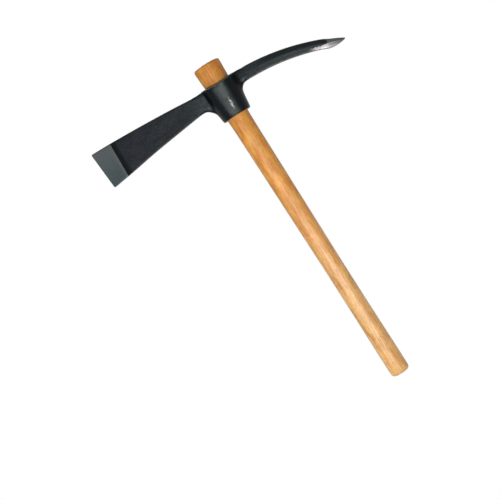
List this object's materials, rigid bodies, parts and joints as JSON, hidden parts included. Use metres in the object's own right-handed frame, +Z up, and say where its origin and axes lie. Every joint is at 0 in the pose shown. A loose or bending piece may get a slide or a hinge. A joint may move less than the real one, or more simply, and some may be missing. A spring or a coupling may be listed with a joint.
{
  "type": "pick axe",
  "caption": "Pick axe: forged head with an axe blade and a curved pick on one tapered round eye, slipped onto a turned wooden handle with a flared top.",
  "frame": {"origin": "centre of the flat butt face at the handle's lower end", "axes": "+Z up the handle towards the head, +X towards the pick, -X towards the axe blade, +Y away from the viewer of the picture"},
  "size_m": [0.457, 0.0666, 0.6],
  "materials": {
    "head_steel": "satin charcoal paint over forged steel, bare ground steel at the cutting bevel and the point",
    "handle_wood": "satin varnish over straight-grained honey-coloured hardwood"
  },
  "bodies": {
    "handle": {"handle": "handle_wood"},
    "head": {"head": "head_steel"}
  },
  "joints": [
    {"name": "head_slide", "type": "slide", "parent": "handle", "child": "head", "axis": [0, 0, -1], "range_m": [0, 0.58]}
  ]
}
